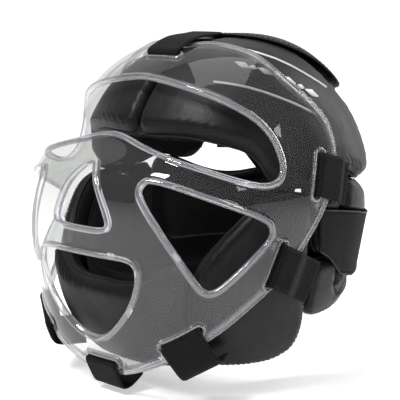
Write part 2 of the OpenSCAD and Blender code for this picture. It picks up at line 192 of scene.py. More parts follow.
CLEAR = plastic("clear_sheet", (0.845, 0.85, 0.84), 0.022, (0.80, 0.81, 0.82), 0.045, 0.7)
EDGE = plastic("clear_edge", (0.82, 0.82, 0.835), 0.13, (0.90, 0.90, 0.96), 0.05, 0.9, True)

# ------------------------------------------------------------------ mesh helpers
def mk(name, V, F, mats, fm=None, uv=None, smooth=True):
    me = bpy.data.meshes.new(name)
    me.from_pydata((np.asarray(V, float)/1000).tolist(), [], [tuple(int(i) for i in f) for f in F])
    for m in mats: me.materials.append(m)
    if fm is not None:
        me.polygons.foreach_set("material_index", np.asarray(fm, np.int32))
    if uv is not None:
        lay = me.uv_layers.new(name="UVMap"); li = np.empty(len(me.loops), np.int32); me.loops.foreach_get("vertex_index", li)
        lay.data.foreach_set("uv", (np.asarray(uv, float)[li]/1000).ravel())
    bm = bmesh.new(); bm.from_mesh(me); bmesh.ops.recalc_face_normals(bm, faces=bm.faces); bm.to_mesh(me); bm.free()
    me.polygons.foreach_set("use_smooth", [smooth]*len(me.polygons)); me.update()
    o = bpy.data.objects.new(name, me); bpy.context.collection.objects.link(o)
    return o

def resample(P, n):
    Q = np.vstack([P, P[:1]]); L = np.concatenate([[0], np.cumsum(np.linalg.norm(np.diff(Q, axis=0), axis=1))])
    t = np.linspace(0, L[-1], n+1)[:-1]
    return np.stack([np.interp(t, L, Q[:, k]) for k in range(Q.shape[1])], 1)
def closed(P, n, cuts=3):
    P = np.asarray(P, float)
    for _ in range(cuts):
        Q = np.roll(P, -1, 0); P = np.stack([0.75*P+0.25*Q, 0.25*P+0.75*Q], 1).reshape(-1, P.shape[1])
    return resample(P, n)

def tube(P, r, m=8, loop=True):
    P = np.asarray(P, float); n = len(P)
    T = U(np.roll(P, -1, 0)-np.roll(P, 1, 0)) if loop else U(np.gradient(P, axis=0))
    Bn = U(np.cross(T, U(P))); Nn = np.cross(Bn, T)
    a = np.arange(m)*2*math.pi/m
    V = (P[:, None]+r*(np.cos(a)[None, :, None]*Nn[:, None]+np.sin(a)[None, :, None]*Bn[:, None])).reshape(-1, 3)
    F = [(i*m+j, i*m+(j+1) % m, ((i+1) % n)*m+(j+1) % m, ((i+1) % n)*m+j) for i in range(n if loop else n-1) for j in range(m)]
    if not loop: F += [tuple(range(m))[::-1], tuple(range((n-1)*m, n*m))]
    return V, F

def stitches(P, gap=4.2, length=2.7, r=0.36, loop=True, up=None):
    "a row of short threads along the points P"
    P = np.asarray(P, float); Q = np.vstack([P, P[:1]]) if loop else P
    L = np.concatenate([[0], np.cumsum(np.linalg.norm(np.diff(Q, axis=0), axis=1))])
    k = max(2, int(L[-1]/gap)); V, F = [], []
    for i in range(k):
        a = L[-1]*i/k; S = np.linspace(a, a+length, 4)
        C = np.stack([np.interp(S, L, Q[:, j]) for j in range(3)], 1)
        T = U(C[-1]-C[0]); N0 = U(C[1]) if up is None else up; B = U(np.cross(T, N0)); b = len(V)
        for c, w in zip(C, (0.35, 1, 1, 0.35)):
            for q in range(5):
                th = q*2*math.pi/5; V.append(c+r*w*(math.cos(th)*N0+math.sin(th)*B))
        for s in range(3):
            for q in range(5): F.append((b+s*5+q, b+s*5+(q+1) % 5, b+s*5+5+(q+1) % 5, b+s*5+5+q))
        F += [tuple(b+q for q in range(5)), tuple(b+15+q for q in range(5))]
    return V, F

def join(parts):
    "parts: (V, F, material index)"
    V, F, M_ = [], [], []
    for v, f, m in parts:
        b = len(V); V.extend(list(v)); F.extend([tuple(int(i)+b for i in q) for q in f]); M_.extend([m]*len(f))
    return V, F, M_

def pad(name, outline, c, ro, ri, body, nodes, n=240, k=26, edge=9.5, shift=(0, 0, 0), mirror=False, material=None,
        welt=1.1, stitch=True, soft=1.0, pucker=0.2, stitch_at=5.5):
    "a stuffed patch: two skins that meet in a seam half way through the thickness"
    E = U(closed(D(outline), n)); cd = D(c)
    t = 1-(1-np.linspace(0, 1, k+1)[1:])**1.6
    d = U(cd*(1-t[:, None, None])+E[None]*t[:, None, None]).reshape(-1, 3)
    d = np.vstack([cd, d]); R = ro(d); P = d*R[:, None]; EP = E*ro(E)[:, None]
    dist = np.empty(len(P))
    for i in range(0, len(P), 800): dist[i:i+800] = np.sqrt(((P[i:i+800, None]-EP[None])**2).sum(-1)).min(1)
    dist[-n:] = 0
    x = np.clip(dist/edge, 0, 1); prof = np.sqrt(np.clip(1-(1-x)**2, 0, 1))
    ro_, ri_ = R, ri(d); mid, half = (ro_+ri_)/2, (ro_-ri_)/2
    per = np.tile(np.arange(n), k)/n; per = np.concatenate([[0], per]); Ltot = np.linalg.norm(EP-np.roll(EP, 1, 0), axis=1).sum()
    pk = pucker*(np.sin(per*2*math.pi*round(Ltot/8.5))+0.6*np.sin(per*2*math.pi*round(Ltot/13.7)+1.3))*np.exp(-((dist-4)/4.5)**2)
    out = mid+half*prof+(sag(P)*soft+np.minimum(pk-pucker, 0))*prof
    inn = mid-half*prof+0.3*soft*prof
    m = len(d); V = np.vstack([d*out[:, None], d[:m-n]*inn[:m-n, None]])
    def at(s, j, i):
        i %= n
        if j == 0: return 0 if s == 0 else m
        if j == k: return 1+(k-1)*n+i
        return 1+(j-1)*n+i+(0 if s == 0 else m)
    F = []
    for s in (0, 1):
        F += [(at(s, 0, 0), at(s, 1, i), at(s, 1, i+1)) for i in range(n)]
        F += [(at(s, j, i), at(s, j+1, i), at(s, j+1, i+1), at(s, j, i+1)) for j in range(1, k) for i in range(n)]
    parts = [(V, F, 0)]
    if welt:
        W = E*(mid[-n:]+0.2)[:, None]; parts.append((*tube(W, welt), 1))
    if stitch:
        sp = np.linalg.norm(EP-cd*ro(cd), axis=1); tt = np.clip(1-stitch_at/sp, 0, 1)
        ds = U(cd*(1-tt[:, None])+E*tt[:, None]); PS = ds*ro(ds)[:, None]
        dd = np.sqrt(((PS[:, None]-EP[None])**2).sum(-1)).min(1); xx = np.clip(dd/edge, 0, 1); pp = np.sqrt(np.clip(1-(1-xx)**2, 0, 1))
        rr = (ro(ds)+ri(ds))/2+(ro(ds)-ri(ds))/2*pp+(sag(PS)*soft-pucker)*pp
        parts.append((*stitches(ds*(rr+0.15)[:, None]), 2))
    V, F, fm = join(parts); V = np.asarray(V)+np.asarray(shift)
    if mirror: V = V*[-1, 1, 1]
    o = mk(name, V, F, [material or LEATHER, WELT, THREAD], fm)
    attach(o, body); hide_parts(*nodes)
    return o

# ------------------------------------------------------------------ outlines
o_forehead = [[0.2, 34], [10, 34], [20, 34], [30, 33], [40, 31], [47, 29.5], [52, 26], [55, 21], [60, 17.8], [68, 17],
  [77, 17.5], [85, 20], [92, 22], [100, 21.5], [107, 18], [116, 18], [122, 24], [125, 34], [122, 43], [112, 50],
  [109, 57], [107, 64], [104, 71], [100, 78], [88, 83], [45, 85], [0.6, 84], [0.4, 76], [0.3, 66], [0.3, 55], [0.2, 44]]
o_crown = [[14, 86], [-14, 86], [-64, 84.5], [-92, 82], [-103, 76], [-108, 69], [-112, 62], [-118, 54], [-128, 50],
  [-140, 48], [-155, 47], [-170, 47], [170, 47], [155, 47], [140, 48], [128, 50], [118, 54], [112, 62], [108, 69], [103, 76], [92, 82], [64, 84.5]]
o_flap = [[-58, 80], [-95, 69], [-112, 60], [-125, 52], [-140, 50], [-155, 49], [-170, 49], [170, 49], [155, 49], [140, 50], [125, 52],
  [112, 60], [95, 69], [58, 80], [25, 83], [0, 84], [-25, 83]]
o_back = [[128, 24], [150, 23], [165, 22.3], [180, 22], [195, 22.3], [210, 23], [232, 24], [233, 33], [232, 42], [225, 44], [210, 45], [195, 45], [180, 45], [165, 45], [150, 45], [135, 44], [128, 42], [127, 33]]
o_jaw = [[45, 6], [50, 10.5], [56, 14], [66, 15], [74, 12.5], [74.5, 4], [73, -6], [72.5, -17], [73, -26], [74.5, -36], [73.5, -45],
  [67, -48], [58, -49], [47, -47], [38, -45], [30, -43], [28, -36], [27.5, -28], [28, -19], [31, -9], [38, -1]]
o_chin = [[0, -13.5], [9, -13.5], [16, -12.5], [22, -10], [27, -6.5], [29.5, -9], [27.2, -19], [26.8, -27], [27, -36], [26, -41], [14, -42.5], [0, -43.5],
  [-14, -42.5], [-26, -41], [-27, -36], [-26.8, -27], [-27.2, -19], [-29.5, -9], [-27, -6.5], [-22, -10], [-16, -12.5], [-9, -13.5]]
o_ear = [[79, 11], [80, 14.5], [84, 16], [89, 17], [91.5, 13], [91.5, 6], [91, -2], [90, -10], [84, -10.5], [79, -10], [77.5, -4], [77.5, 4]]
o_rear = [[93.5, 15], [98, 19.5], [106, 18.8], [112, 16.5], [120, 13.5], [130, 11], [140, 11.5], [150, 14], [160, 16], [170, 16.5], [174, 12],
  [174, 0], [174, -12], [172, -24], [162, -26], [148, -26.5], [134, -26.5], [120, -26.3], [106, -26.3], [94, -25.5], [93, -12], [93, 2]]
o_nape = [[76, -13], [83, -12.5], [90, -12.5], [92, -20], [93, -26.5], [104, -27], [116, -27], [128, -27], [130, -33], [126, -38.5],
  [112, -40], [98, -40], [88, -40], [79, -38], [76, -32], [75, -22]]

HG = "headguard"
rs_lo = [[76, -7], [83, -11], [92, -19], [104, -22], [120, -22], [284, -22]]
rs_hi = [[76, 8], [88, 6.5], [98, 5], [115, 2], [130, 1], [284, 1]]
def pressed(d):
    "the closure strap bites into the padding"
    f = np.degrees(np.arctan2(d[..., 0], -d[..., 1])) % 360; f2 = np.minimum(f, 360-f); ps = np.degrees(np.arcsin(np.clip(d[..., 2], -1, 1)))
    l, h_ = np.interp(f2, *np.array(rs_lo).T), np.interp(f2, *np.array(rs_hi).T)
    return r_rear(d)-4.6*ss((ps-l+2.5)/3.5)*ss((h_+2.5-ps)/3.5)
th = PT-LT-0.4
for side, mir in (("left", False), ("right", True)):
    pad("forehead_pad_"+side, o_forehead, [58, 50], r_pad, lambda d: r_pad(d)-th, HG, ["forehead_cover_"+side, "forehead_foam_"+side],
        n=360, k=34, edge=8.5, shift=(0.4, 0, 0), mirror=mir)
    pad("jaw_pad_"+side, o_jaw, [53, -20], r_jaw, lambda d: r_jaw(d)-th, HG, ["jaw_cover_"+side, "jaw_foam_"+side], n=300, k=30, edge=9.5, mirror=mir)
    pad("ear_pad_skin_"+side, o_ear, [84.5, 3], lambda d: pressed(d)+1, lambda d: r_rear(d)-20, HG, ["ear_pad_"+side], n=140, k=16, edge=8, mirror=mir, stitch=False)
    pad("rear_pad_skin_"+side, o_rear, [133, -5], pressed, lambda d: r_rear(d)-21, HG, ["rear_pad_"+side], n=300, k=26, edge=9.5, mirror=mir)
    pad("nape_pad_skin_"+side, o_nape, [98, -31], lambda d: r_rear(d)+1, lambda d: r_rear(d)-18, HG, ["nape_pad_"+side], n=220, k=20, edge=8, mirror=mir)
    pad("cheek_lining_skin_"+side, o_jaw, [53, -20], lambda d: r_jaw(d)-PT+LT, lambda d: r_jaw(d)-PT, HG, ["cheek_lining_"+side], n=200, k=16, edge=1.5,
        mirror=mir, material=LINING, welt=0, stitch=False, soft=0.0, pucker=0)
pad("crown_pad", o_crown, [180, 70], lambda d: r_pad(d)-1, lambda d: r_pad(d)-1-th, HG, ["crown_cover", "crown_foam"], n=300, k=30, edge=8, shift=(0, 3, 0))
pad("crown_flap_skin", o_flap, [180, 76], lambda d: r_pad(d)+2.4, lambda d: r_pad(d)+0.2, HG, ["crown_flap"], n=360, k=30, edge=1.8, shift=(0, 3, 0),
    material=LEATHER2, welt=0.9, soft=0.5, pucker=0.1, stitch_at=4.0)
pad("back_pad", o_back, [180, 33], r_pad, lambda d: r_pad(d)-th, HG, ["back_cover", "back_foam"], n=260, k=24, edge=8.5)
pad("chin_pad", o_chin, [0, -28], r_chin, lambda d: r_chin(d)-PT+LT+0.2, HG, ["chin_cover", "chin_foam"], n=220, k=24, edge=9.5)
pad("crown_lining_skin", o_crown, [180, 70], lambda d: r_pad(d)-1-PT+LT, lambda d: r_pad(d)-1-PT, HG, ["crown_lining"], n=240, k=20, edge=1.5, shift=(0, 3, 0),
    material=LINING, welt=0, stitch=False, soft=0.0, pucker=0)

# ------------------------------------------------------------------ bands: sweatband, rear strap, loop pile
def band(name, lo, hi, a, b, steps, ro, ri, rows, mats, body, nodes, straight=False, mirror=False, thread=False, blend=None, extra=None):
    lo, hi = np.array(lo, float), np.array(hi, float)
    f = np.linspace(a, b, steps+1); l = np.interp(f, lo[:, 0], lo[:, 1]); h = np.interp(f, hi[:, 0], hi[:, 1])
    w = np.linspace(0, 1, rows+1)
    def surf(r):
        if straight:
            dl, dh = D(np.stack([f, l], 1)), D(np.stack([f, h], 1))
            pl, ph = dl*r(dl)[:, None], dh*r(dh)[:, None]
            return pl[:, None]*(1-w[None, :, None])+ph[:, None]*w[None, :, None]
        d = D(np.stack([np.repeat(f[:, None], rows+1, 1), l[:, None]+(h-l)[:, None]*w[None]], -1))
        return d*r(d)[..., None]
    O, I = surf(ro), surf(ri); mid = (O+I)/2
    # the four edges are rounded: outer and inner come together over the last row
    q = np.ones((steps+1, rows+1)); q[:, 0] = q[:, -1] = 0.45; q[0] = q[-1] = 0.45
    O = mid+(O-mid)*q[..., None]; I = mid+(I-mid)*q[..., None]
    m = (steps+1)*(rows+1); V = np.vstack([O.reshape(-1, 3), I.reshape(-1, 3)]); W = rows+1
    F = [(i*W+j, i*W+j+1, (i+1)*W+j+1, (i+1)*W+j) for i in range(steps) for j in range(rows)]
    F += [tuple(x+m for x in g) for g in F]
    per = [(i, 0) for i in range(steps)]+[(steps, j) for j in range(rows)]+[(i, rows) for i in range(steps, 0, -1)]+[(0, j) for j in range(rows, 0, -1)]
    ids = [i*W+j for i, j in per]
    F += [(ids[i], ids[(i+1) % len(ids)], ids[(i+1) % len(ids)]+m, ids[i]+m) for i in range(len(ids))]
    arc = np.concatenate([[0], np.cumsum(np.linalg.norm(np.diff(mid[:, rows//2], axis=0), axis=1))])
    wid = np.linalg.norm(mid[:, -1]-mid[:, 0], axis=1)
    uvg = np.stack([np.repeat(arc[:, None], W, 1), wid[:, None]*(w[None]-0.5)], -1).reshape(-1, 2); uv = np.vstack([uvg, uvg])
    parts = [(V, F, 0)]; n0 = len(V)
    if thread:
        for s in (0.06, 0.94):
            g = O[:, 0]*(1-s)+O[:, -1]*s; parts.append((*stitches(g*1.001+U(g)*0.25, gap=3.6, length=2.4, r=0.3, loop=False), 1))
    if extra is not None: parts += extra(O)
    V, F, fm = join(parts); V = np.asarray(V); uv = np.vstack([uv, np.zeros((len(V)-n0, 2))])
    if mirror: V = V*[-1, 1, 1]
    o = mk(name, V, F, mats, fm, uv)
    if blend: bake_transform(o)
    else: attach(o, body)
    if nodes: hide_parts(*nodes)
    return o

band_lo = [[0, 36], [30, 35], [47, 32], [56, 22], [68, 19], [80, 20], [92, 24], [106, 21], [118, 26], [180, 26], [242, 26], [254, 21], [268, 24], [280, 20], [292, 19], [304, 22], [313, 32], [330, 35], [360, 36]]
band_hi = [[0, 52], [100, 52], [119, 44], [128, 43], [232, 43], [241, 44], [260, 52], [360, 52]]
for nm, a, b in (("left", 1, 119), ("back", 128, 232), ("right", 241, 359)):
    band("sweatband_"+nm, band_lo, band_hi, a, b, 90, lambda d: r_pad(d)-PT+LT-1, lambda d: r_pad(d)-PT-1, 10, [LINING], HG, ["sweatband"])
def P_at(phi, psi, r, off): d = D([phi, psi]); return d*(r(d)+off)
st, en = P_at(201, -10, r_rear, 5)/1000, P_at(207, -10, r_rear, 5)/1000
def edge_piping(O): return [(*tube(O[:, -1]+U(O[:, -1])*0.2, 0.8, loop=False), 2), (*tube(O[:, 0]+U(O[:, 0])*0.2, 0.8, loop=False), 2)]
rear = band("rear_closure_strap", rs_lo, rs_hi, 77, 244, 220, lambda d: r_rear(d)+1.0, lambda d: r_rear(d)-0.8, 14, [WEB, THREAD, WELT], HG,
     ["rear_strap", "rear_tab"], straight=True, thread=True, blend=(HG, "rear_tab_end", tuple(st), tuple(en)), extra=edge_piping)
band("rear_closure_strap_far", rs_lo, rs_hi, 77, 112, 60, lambda d: r_rear(d)+1.0, lambda d: r_rear(d)-0.8, 14, [WEB, THREAD, WELT], HG,
     ["rear_strap_right"], straight=True, thread=True, mirror=True, extra=edge_piping)
band("rear_loop_pile", [[200, -20], [250, -20]], [[200, -1], [250, -1]], 206, 243, 60, lambda d: r_rear(d)-1.2, lambda d: r_rear(d)-2.2, 12, [PILE], HG,
     ["rear_loop_patch"], straight=True)

for side, mir in (("left", False), ("right", True)):
    o = band("rear_backing_"+side, [[73, -33], [80, -36], [90, -37], [128, -36], [130, -26], [176, -25]], [[73, 8], [80, 12], [90, 12], [98, 15], [112, 12], [130, 9], [160, 12], [176, 10]], 74, 175, 70,
        lambda d: r_rear(d)-18.6, lambda d: r_rear(d)-19.6, 20, [LINING], HG, [], mirror=mir)
o = band("crown_backing", [[106, 30], [254, 30]], [[106, 62], [254, 62]], 106, 254, 90,
    lambda d: r_pad(d)-PT+3.4, lambda d: r_pad(d)-PT+2.4, 20, [LINING], HG, [])
o = band("chin_backing", [[-34, -41], [34, -41]], [[-34, -7], [-26, -9], [-16, -14.5], [0, -15.5], [16, -14.5], [26, -9], [34, -7]], -33, 33, 50,
    lambda d: r_jaw(d)-19.6, lambda d: r_jaw(d)-20.6, 16, [LINING], HG, [])
# ------------------------------------------------------------------ strap frames
places = [[[0, 57.5], [0, 64.6]], [[71.5, 20.2], [81.3, 18.0]], [[53.5, -6.2], [60.3, -10.0]], [[28.0, -22.6], [31.0, -27.8]], [[0, -31.8], [0, -38.2]]]
def p_mask(a): d = D(a); return d*r_mask(d)
def nrm(a): return U(np.cross(p_mask([a[0]+.5, a[1]])-p_mask([a[0]-.5, a[1]]), p_mask([a[0], a[1]+.5])-p_mask([a[0], a[1]-.5])))
def fr(i):
    p, q = p_mask(places[i][1]), p_mask(places[i][0]); n = nrm(places[i][1]); l = U(np.cross(p-q, n)); s = np.cross(n, l)
    return p, s, n, l, float((q-p)@n)
slot_s = [-15, -17, -13, -12, -13]; leg = [3.9, 3.7, 3.9, 6.2, 3.9]
tab_line = [
  [[1.75, 3.2], [7, 3], [15, 1.4], [24, -1.2], [34, -3.6]],
  [[1.75, 3.2], [5, 2.2], [10, -0.6], [14, -2], [21, -2.2]],
  [[1.75, 3.2], [6, 1.4], [12, -3.2], [18, -6.2], [31, -6.9]],
  [[1.75, 3.2], [8, 3.8], [16, 3], [21, -1], [26, -11], [32, -20.5], [42, -25]],
  [[1.75, 3.2], [6, 4], [11, 2.5], [14, -3], [14.5, -11], [13, -19]]]
SW = 32.0

# ------------------------------------------------------------------ clear mask
o_mask = [[0, 64.5], [12, 65.5], [25, 67], [37, 65.5], [47, 63.5], [55, 60.5], [61, 56], [66, 51], [72, 46.5], [77.5, 42.5], [81.5, 38.5],
  [84, 32.5], [84, 27.5], [82.7, 22.5], [80.5, 17], [78.2, 12.2], [74.8, 7], [71, 2], [66.5, -3], [62, -8], [57.5, -11.8], [52.5, -15], [47, -18.3],
  [41.5, -21.8], [35, -25.3], [30, -28], [25, -30.3], [20, -32.3], [14, -34.8], [7, -37], [0, -37.8]]
def both(o): return o+[[-p[0], p[1]] for p in o[-2:0:-1]]
o_eye = [[0, 47.7], [9, 46.7], [17, 45.2], [26, 43], [34.5, 40.8], [46, 36.8], [51, 34], [55, 30], [57, 25.5], [57.6, 21.5], [56.3, 18.6], [53.5, 17.2],
  [49.5, 16.9], [43, 18], [36.7, 19.6], [27, 22], [15, 26], [7, 29], [0, 30.3]]
o_nose = [[0, 19.8], [2.2, 17.5], [9.3, 5], [8.6, 3.2], [0, 3]]
o_mouth = [[0, -4.6], [8, -4.5], [15.5, -4.6], [17.6, -6], [17.6, -9.5], [16, -14], [13, -18.5], [9, -22.5], [4.5, -25.5], [0, -26.5]]
o_cheek = [[21.5, 15.6], [46, 8.2], [52.2, 5.4], [53.2, 3.2], [52.3, 0.6], [43, -7.4], [38, -11.3], [35.7, -11.5], [34, -9.6], [28, -0.4], [19.8, 11.2], [19.4, 14]]
CM = D([0, 12]); e1 = np.array([1.0, 0, 0]); e2 = np.cross(CM, e1); e2 = e2 if e2[2] > 0 else -e2
def flat(d): w = d@CM; return 2*np.stack([d@e1, d@e2], -1)/(1+w)[..., None]
def lift(p):
    q = (p**2).sum(-1)[..., None]; return 4*p[..., :1]/(4+q)*e1+4*p[..., 1:]/(4+q)*e2+(4-q)/(4+q)*CM

def slot_outline(i):
    p, s, n, l, q = fr(i); c = slot_s[i]-1; R = []
    hs, hl, r = 2.7, SW/2+1.6, 2.5
    for sx, sy, a0 in ((1, 1, 0), (-1, 1, 90), (-1, -1, 180), (1, -1, 270)):
        for a in np.linspace(a0, a0+90, 7):
            R.append(p+s*(c+sx*(hs-r)+r*math.cos(math.radians(a)))+l*(sy*(hl-r)+r*math.sin(math.radians(a)))+n*q*(c/slot_s[i]))
    return U(np.array(R))
loops = []   # (directions, kind) kind 0 rim, 1 opening, 2 slot
loops.append((U(closed(D(both(o_mask)), 520, 2)), 0))
for o, c in ((both(o_eye), 300), (both(o_nose), 90), (both(o_mouth), 200), (o_cheek, 180), ([[-a, b] for a, b in o_cheek], 180)):
    loops.append((U(closed(D(o), c, 2)), 1))
for i in range(5):
    s_ = slot_outline(i); s_ = U(resample(s_, 64)); loops.append((s_, 2))
    if i in (1, 2, 3): loops.append((s_*[-1, 1, 1], 2))
def scale_at(p): return 4/(4+(p**2).sum(-1))*r_mask(lift(p))   # mm per unit of the flat plane
def area(p): q = np.roll(p, -1, 0); return 0.5*(p[:, 0]*q[:, 1]-q[:, 0]*p[:, 1]).sum()
def inside(P, poly):
    x, y = P[:, 0], P[:, 1]; r = np.zeros(len(P), bool); j = len(poly)-1
    for i in range(len(poly)):
        xi, yi, xj, yj = *poly[i], *poly[j]
        if yi != yj: r ^= ((yi > y) != (yj > y)) & (x < (xj-xi)*(y-yi)/(yj-yi)+xi)
        j = i
    return r
flats = [flat(d) for d, _ in loops]
bpts = np.vstack(flats); kind = np.concatenate([[k]*len(f) for f, (_, k) in zip(flats, loops)])
rings = []
for f, (dd_, k) in zip(flats, loops):
    T = np.roll(f, -1, 0)-np.roll(f, 1, 0); T /= np.linalg.norm(T, axis=1, keepdims=True)
    nrm_ = np.stack([-T[:, 1], T[:, 0]], 1)*(1 if area(f) > 0 else -1)     # into the loop
    if k > 0: nrm_ = -nrm_                                                  # material lies outside openings
    sc = scale_at(f)[:, None]
    for o in ((0.5, 1.2, 2.0, 2.8, 3.6, 4.4, 5.2, 6.2) if k < 2 else (0.5, 1.2, 2.0, 2.8, 3.6)):
        rings.append((f+nrm_*o/sc, o))
g = 0.0235
gx, gy = np.meshgrid(np.arange(-1.9, 1.9, g), np.arange(-1.3, 1.3, g*0.866)); gx = gx+(np.arange(gx.shape[0]) % 2)[:, None]*g/2
cand = [(np.stack([gx.ravel(), gy.ravel()], 1), 7.2)]+rings
keep = [bpts]
def dist_to_edges(P):
    "distance in mm to the nearest boundary point, and its kind"
    out, kd = np.empty(len(P)), np.empty(len(P), int); sc = scale_at(P)
    for i in range(0, len(P), 600):
        q = np.sqrt(((P[i:i+600, None]-bpts[None])**2).sum(-1)); a = q.argmin(1)
        out[i:i+600] = q[np.arange(len(a)), a]*sc[i:i+600]; kd[i:i+600] = kind[a]
    return out, kd
def in_material(P):
    r = inside(P, flats[0])
    for f in flats[1:]: r &= ~inside(P, f)
    return r
for P, o in cand:
    P = P[in_material(P)]; dm, _ = dist_to_edges(P); P = P[dm > (o*0.86 if o < 7 else 6.9)]
    keep.append(P)
pts = np.vstack(keep)
edges, b = [], 0
for f in flats:
    edges += [(b+i, b+(i+1) % len(f)) for i in range(len(f))]; b += len(f)
vc, _, tri, ov, _, _ = delaunay_2d_cdt([Vector(p) for p in pts], edges, [], 0, 1e-6)
P2 = np.array([v[:] for v in vc]); tri = np.array([t for t in tri if len(t) == 3])
cen = P2[tri].mean(1); tri = tri[in_material(cen)]
used = np.unique(tri); remap = -np.ones(len(P2), int); remap[used] = np.arange(len(used)); P2 = P2[used]; tri = remap[tri]
dm, kd = dist_to_edges(P2)
h = np.where(kd == 0, 1.1*np.exp(-((dm-1.4)/0.9)**2)+0.5*np.exp(-((dm-4.6)/1.2)**2),
    np.where(kd == 1, 1.55*ss(dm/1.3)*(1-ss((dm-2.9)/2.4)), 1.3*np.exp(-((dm-1.3)/0.9)**2)))
rnd = 0.85*(1-np.sqrt(np.clip(1-(1-np.clip(dm/0.9, 0, 1))**2, 0, 1)))
dd3 = lift(P2); R0 = r_mask(dd3); nv = len(P2)
outer, inner = dd3*(R0+h-rnd)[:, None], dd3*(R0-3.0+rnd)[:, None]
F = [tuple(t) for t in tri]+[tuple(x+nv for x in t[::-1]) for t in tri]
mean = dm[tri].mean(1); kk = kd[tri].min(1); lim = np.where(kk == 2, 2.4, np.where(kk == 0, 5.8, 4.6)); fm = list((mean < lim).astype(int))*2
# side walls along boundary edges
cnt = {}
for t in tri:
    for a_, b_ in ((t[0], t[1]), (t[1], t[2]), (t[2], t[0])):
        cnt[(a_, b_)] = cnt.get((a_, b_), 0)+1
for (a_, b_) in list(cnt):
    if (b_, a_) not in cnt: F.append((b_, a_, a_+nv, b_+nv)); fm.append(1)
mask = mk("face_mask_skin", np.vstack([outer, inner]), F, [CLEAR, EDGE], fm)
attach(mask, "mask"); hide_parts("face_mask")

# ------------------------------------------------------------------ straps through the mask
def fillet(P, r, k=6):
    P = [np.array(p, float) for p in P]; out = [P[0]]
    for a, b, c in zip(P, P[1:], P[2:]):
        ra = min(r, 0.48*np.linalg.norm(b-a)); rc = min(r, 0.48*np.linalg.norm(c-b))
        p, q = b+(a-b)/np.linalg.norm(a-b)*ra, b+(c-b)/np.linalg.norm(c-b)*rc
        for t in np.linspace(0, 1, k): out.append((1-t)**2*p+2*t*(1-t)*b+t*t*q)
    out.append(P[-1]); out = np.array(out)
    keepi = np.concatenate([[True], np.linalg.norm(np.diff(out, axis=0), axis=1) > 0.05]); return out[keepi]
def dens(P, step):
    L = np.concatenate([[0], np.cumsum(np.linalg.norm(np.diff(P, axis=0), axis=1))]); t = np.linspace(0, L[-1], int(L[-1]/step)+2)
    return np.stack([np.interp(t, L, P[:, k]) for k in (0, 1)], 1), t
tab_line[1] = [[1.75, 3.2], [5, 1.9], [9, -2.2], [13, -3.8], [17.5, -4.0]]
tab_line[3] = [[1.75, 3.2], [8, 3.8], [14, 3.0], [17.5, -1.5], [20.5, -10], [24, -19]]
tab_line[4] = [[1.75, 3.2], [5, 3.5], [8.5, 2.2], [10.5, -3], [11, -10], [10.5, -17]]
names = ["forehead", "temple", "cheek", "jaw", "chin"]
def strap(i, side=None):
    p, s, n, l, q = fr(i); w = leg[i]; a = slot_s[i]
    path = [[0.4, -w-0.65], [a-1.0, q-w-0.65], [a-1.0, q+3.15], [0.4, 3.2]]+tab_line[i]
    P, arc = dens(fillet(path, 2.6), 0.8)
    T = np.gradient(P, axis=0); T /= np.linalg.norm(T, axis=1, keepdims=True); Nn = np.stack([-T[:, 1], T[:, 0]], 1)
    K = 20; lv = np.linspace(-SW/2, SW/2, K+1); V, uv = [], []
    iscorner = np.interp(arc, [0, 3, arc[-1]], [0.6, 1, 1])
    for j in range(len(P)):
        tt = 1.0*iscorner[j] if P[j][1] > -w or arc[j] > 25 else 0.62
        for sgn, order in ((1, lv), (-1, lv[::-1])):
            for x in order:
                e = abs(x)/(SW/2); h2 = tt*(1-0.55*max(0, (e-0.93)/0.07))
                rag = 0.0 if j < len(P)-2 else 0.35*math.sin(x*2.3+i)+0.25*math.sin(x*5.1)
                c2 = P[j]+Nn[j]*sgn*h2+T[j]*rag
                ripple = 0.22*math.sin(arc[j]/9.0+x/11.0+i)*(1 if arc[j] > 26 else 0)
                V.append(p+s*c2[0]+n*(c2[1]+ripple)+l*x); uv.append((arc[j], x))
    m = 2*(K+1); F = [(j*m+x, j*m+(x+1) % m, (j+1)*m+(x+1) % m, (j+1)*m+x) for j in range(len(P)-1) for x in range(m)]
    for j in (0, len(P)-1):
        for x in range(K): F.append((j*m+x, j*m+x+1, j*m+m-2-x, j*m+m-1-x))
    parts = [(V, F, 0)]; n0 = len(V)
    top = lambda k, x, o=1.1: p+s*(P[k]+Nn[k]*o)[0]+n*((P[k]+Nn[k]*o)[1]+0.22*math.sin(arc[k]/9.0+x/11.0+i)*(1 if arc[k] > 26 else 0))+l*x
    k0 = int(np.searchsorted(arc, arc[-1]-(17 if i in (0, 3, 4) else 13))); k1 = len(P)-4
    up = U(n)
    for x in (-SW/2+2, SW/2-2): parts.append((*stitches([top(k, x) for k in range(8, len(P)-2, 3)], 3.4, 2.3, 0.3, False, up), 1))
    for kx in (k0, k1): parts.append((*stitches([top(kx, x) for x in np.linspace(-SW/2+2, SW/2-2, 12)], 3.2, 2.2, 0.3, False, up), 1))
    V, F, fm = join(parts); V = np.asarray(V); uv = np.vstack([np.array(uv), np.zeros((len(V)-n0, 2))])
    nm = names[i]; suf = "" if side is None else "_"+side
    a_, b_ = p+s*0.2+n*3.2, p+s*4.5+n*3.2
    if side == "right": V = V*[-1, 1, 1]; a_, b_ = a_*[-1, 1, 1], b_*[-1, 1, 1]
    o = mk(nm+"_strap"+suf, V, F, [WEB, THREAD], fm, uv)
    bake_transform(o)
    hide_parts(nm+"_loop"+suf, nm+"_tab"+suf)
for i in (0, 4): strap(i)
for i in (1, 2, 3): strap(i, "left"); strap(i, "right")

